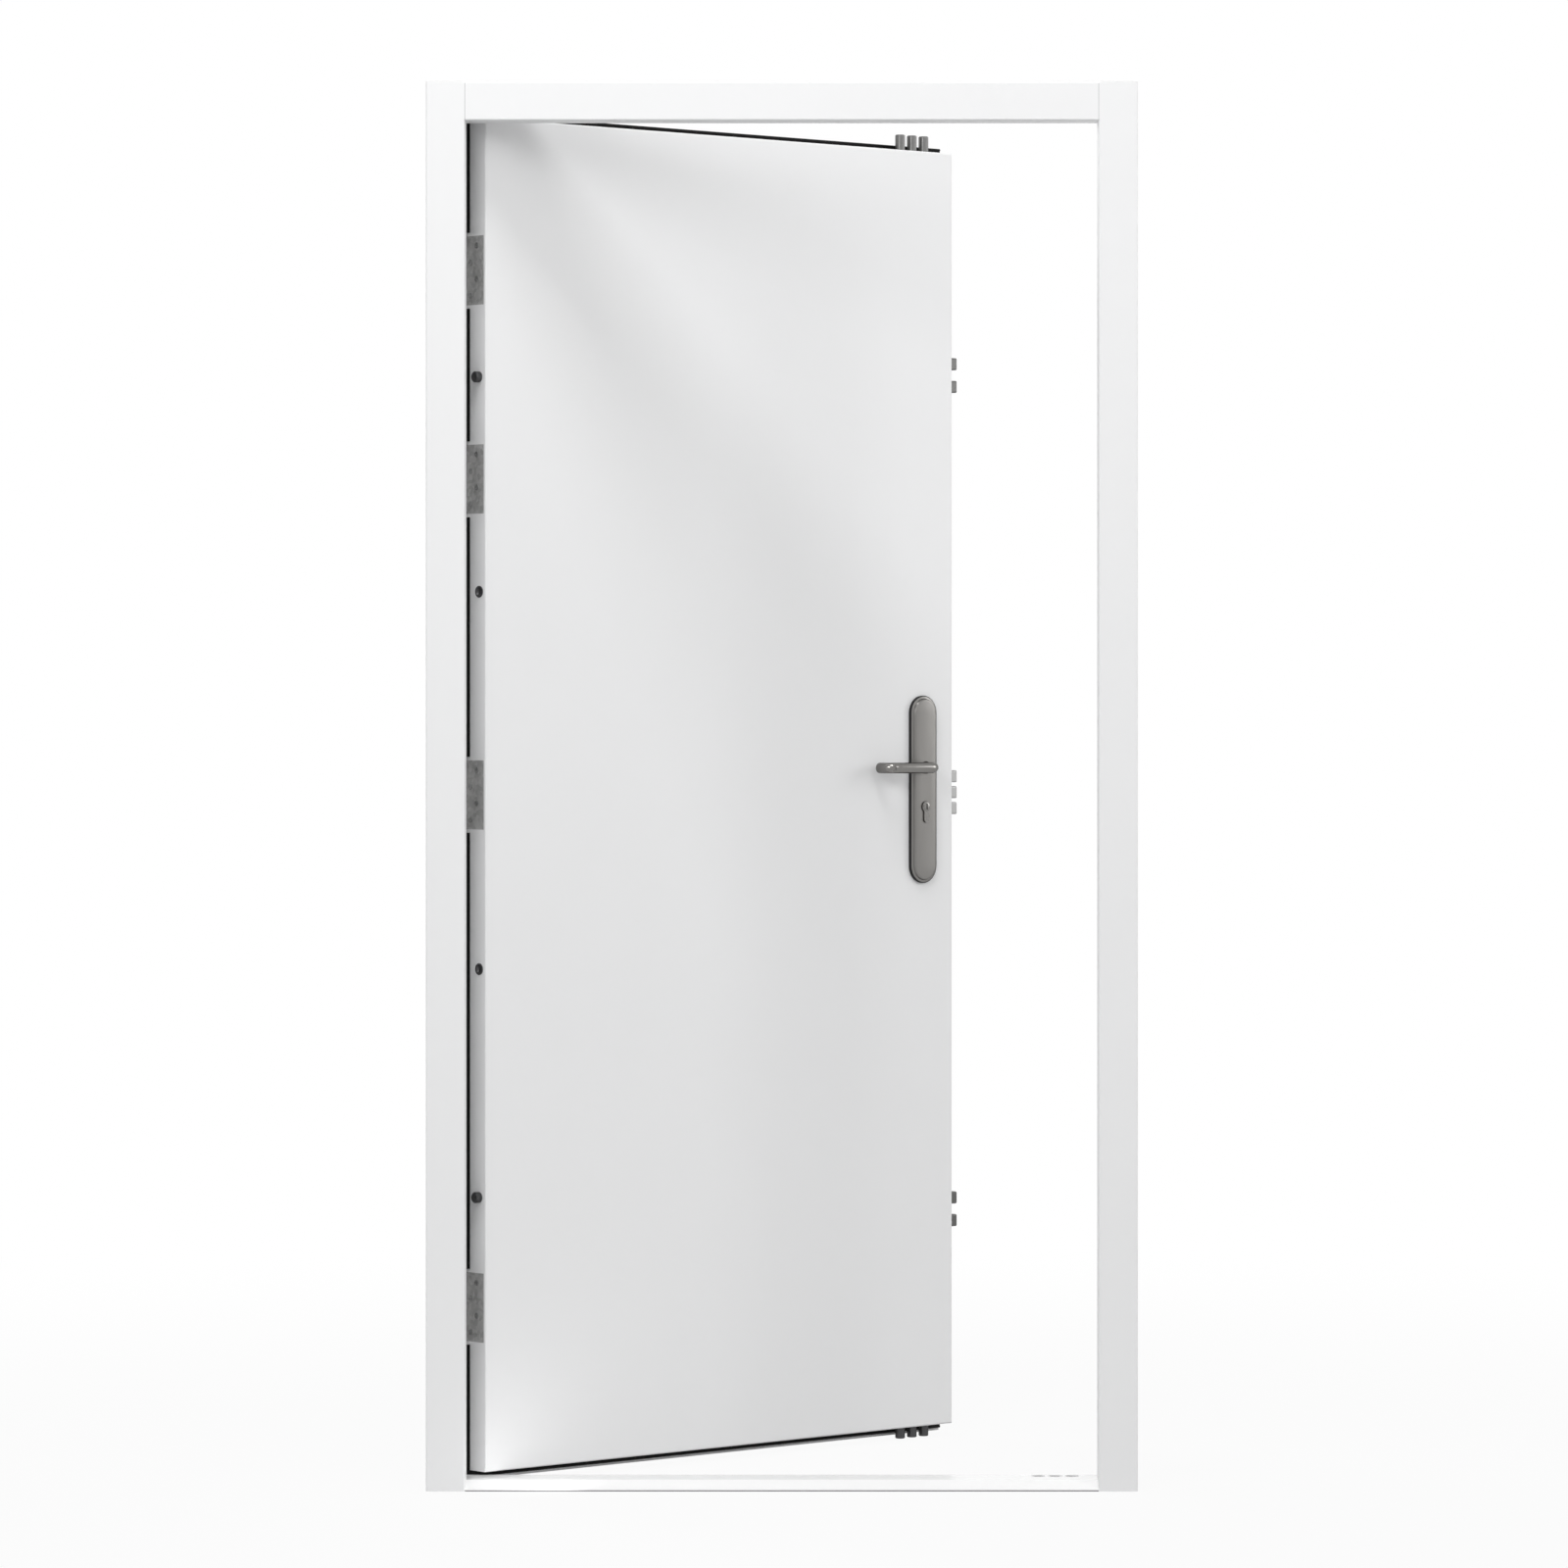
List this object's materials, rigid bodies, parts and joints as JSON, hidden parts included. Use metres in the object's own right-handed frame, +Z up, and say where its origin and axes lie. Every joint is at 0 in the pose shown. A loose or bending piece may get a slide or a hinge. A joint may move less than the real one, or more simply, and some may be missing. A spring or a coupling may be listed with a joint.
{
  "type": "steel security door",
  "caption": "Outward-opening steel security door with folded frame, pinned hinges, flat and round lock bolts on three edges, lever handles and low threshold.",
  "frame": {"origin": "middle of the frame's footprint, on the floor face under the threshold", "axes": "+X to the lock side, +Y outdoors, the way the leaf opens, +Z up"},
  "size_m": [1.02, 0.7312, 2.02],
  "materials": {
    "white_powder_coat": "semi-gloss white powder coat",
    "galvanised_steel": "zinc plated, dull",
    "bright_steel": "ground steel, nickel plated",
    "dark_steel": "dark phosphated steel",
    "satin_nickel": "satin nickel",
    "black_rubber": "matt black rubber",
    "mineral_core": "pressed mineral wool"
  },
  "bodies": {
    "frame": {"hinge_jamb": "white_powder_coat", "lock_jamb": "white_powder_coat", "head": "white_powder_coat", "threshold": "white_powder_coat", "hinge_jamb_straps": "galvanised_steel", "lock_jamb_straps": "galvanised_steel", "hinge_pins": "bright_steel", "frame_hinge_plate_1": "galvanised_steel", "frame_hinge_plate_2": "galvanised_steel", "frame_hinge_plate_3": "galvanised_steel", "frame_hinge_plate_4": "galvanised_steel"},
    "leaf": {"leaf_inner_tray": "white_powder_coat", "leaf_outer_skin": "white_powder_coat", "leaf_core": "mineral_core", "hinge_side_seal": "black_rubber", "lock_side_seal": "black_rubber", "top_seal": "black_rubber", "bottom_seal": "black_rubber", "dog_bolts": "dark_steel", "edge_plugs": "dark_steel", "top_faceplate": "galvanised_steel", "bottom_faceplate": "galvanised_steel", "upper_faceplate": "galvanised_steel", "centre_faceplate": "galvanised_steel", "lower_faceplate": "galvanised_steel", "upper_lock_case": "galvanised_steel", "centre_lock_case": "galvanised_steel", "lower_lock_case": "galvanised_steel", "inner_escutcheon": "satin_nickel", "outer_escutcheon": "satin_nickel", "lock_cylinder": "satin_nickel", "leaf_hinge_plate_1": "galvanised_steel", "leaf_hinge_plate_2": "galvanised_steel", "leaf_hinge_plate_3": "galvanised_steel", "leaf_hinge_plate_4": "galvanised_steel"},
    "levers": {"inner_lever": "satin_nickel", "outer_lever": "satin_nickel", "lever_spindle": "bright_steel"},
    "side_bolts": {"upper_side_bolts": "bright_steel", "centre_side_bolts": "bright_steel", "lower_side_bolts": "bright_steel"},
    "top_bolts": {"top_bolts": "bright_steel"},
    "bottom_bolts": {"bottom_bolts": "bright_steel"}
  },
  "joints": [
    {"name": "leaf_swing", "type": "hinge", "parent": "frame", "child": "leaf", "pos_m": [-0.468, 0.0614, 0], "axis": [0, 0, 1], "range_deg": [-42, 68]},
    {"name": "lever_turn", "type": "hinge", "parent": "leaf", "child": "levers", "pos_m": [0.21405, 0.59962, 1.029], "axis": [0.6691, -0.7431, 0], "range_deg": [0, 45], "stiffness_Nm_per_rad": 1.2, "springref_deg": -34.38},
    {"name": "side_bolt_throw", "type": "slide", "parent": "leaf", "child": "side_bolts", "axis": [0.7431, 0.6691, 0], "range_m": [-0.02, 0]},
    {"name": "top_bolt_throw", "type": "slide", "parent": "leaf", "child": "top_bolts", "axis": [0, 0, 1], "range_m": [-0.0245, 0]},
    {"name": "bottom_bolt_throw", "type": "slide", "parent": "leaf", "child": "bottom_bolts", "axis": [0, 0, -1], "range_m": [-0.0175, 0]}
  ],
  "couplings": [
    {"joint": "top_bolt_throw", "follows": "side_bolt_throw", "ratio": 1.225},
    {"joint": "bottom_bolt_throw", "follows": "side_bolt_throw", "ratio": 0.875}
  ]
}
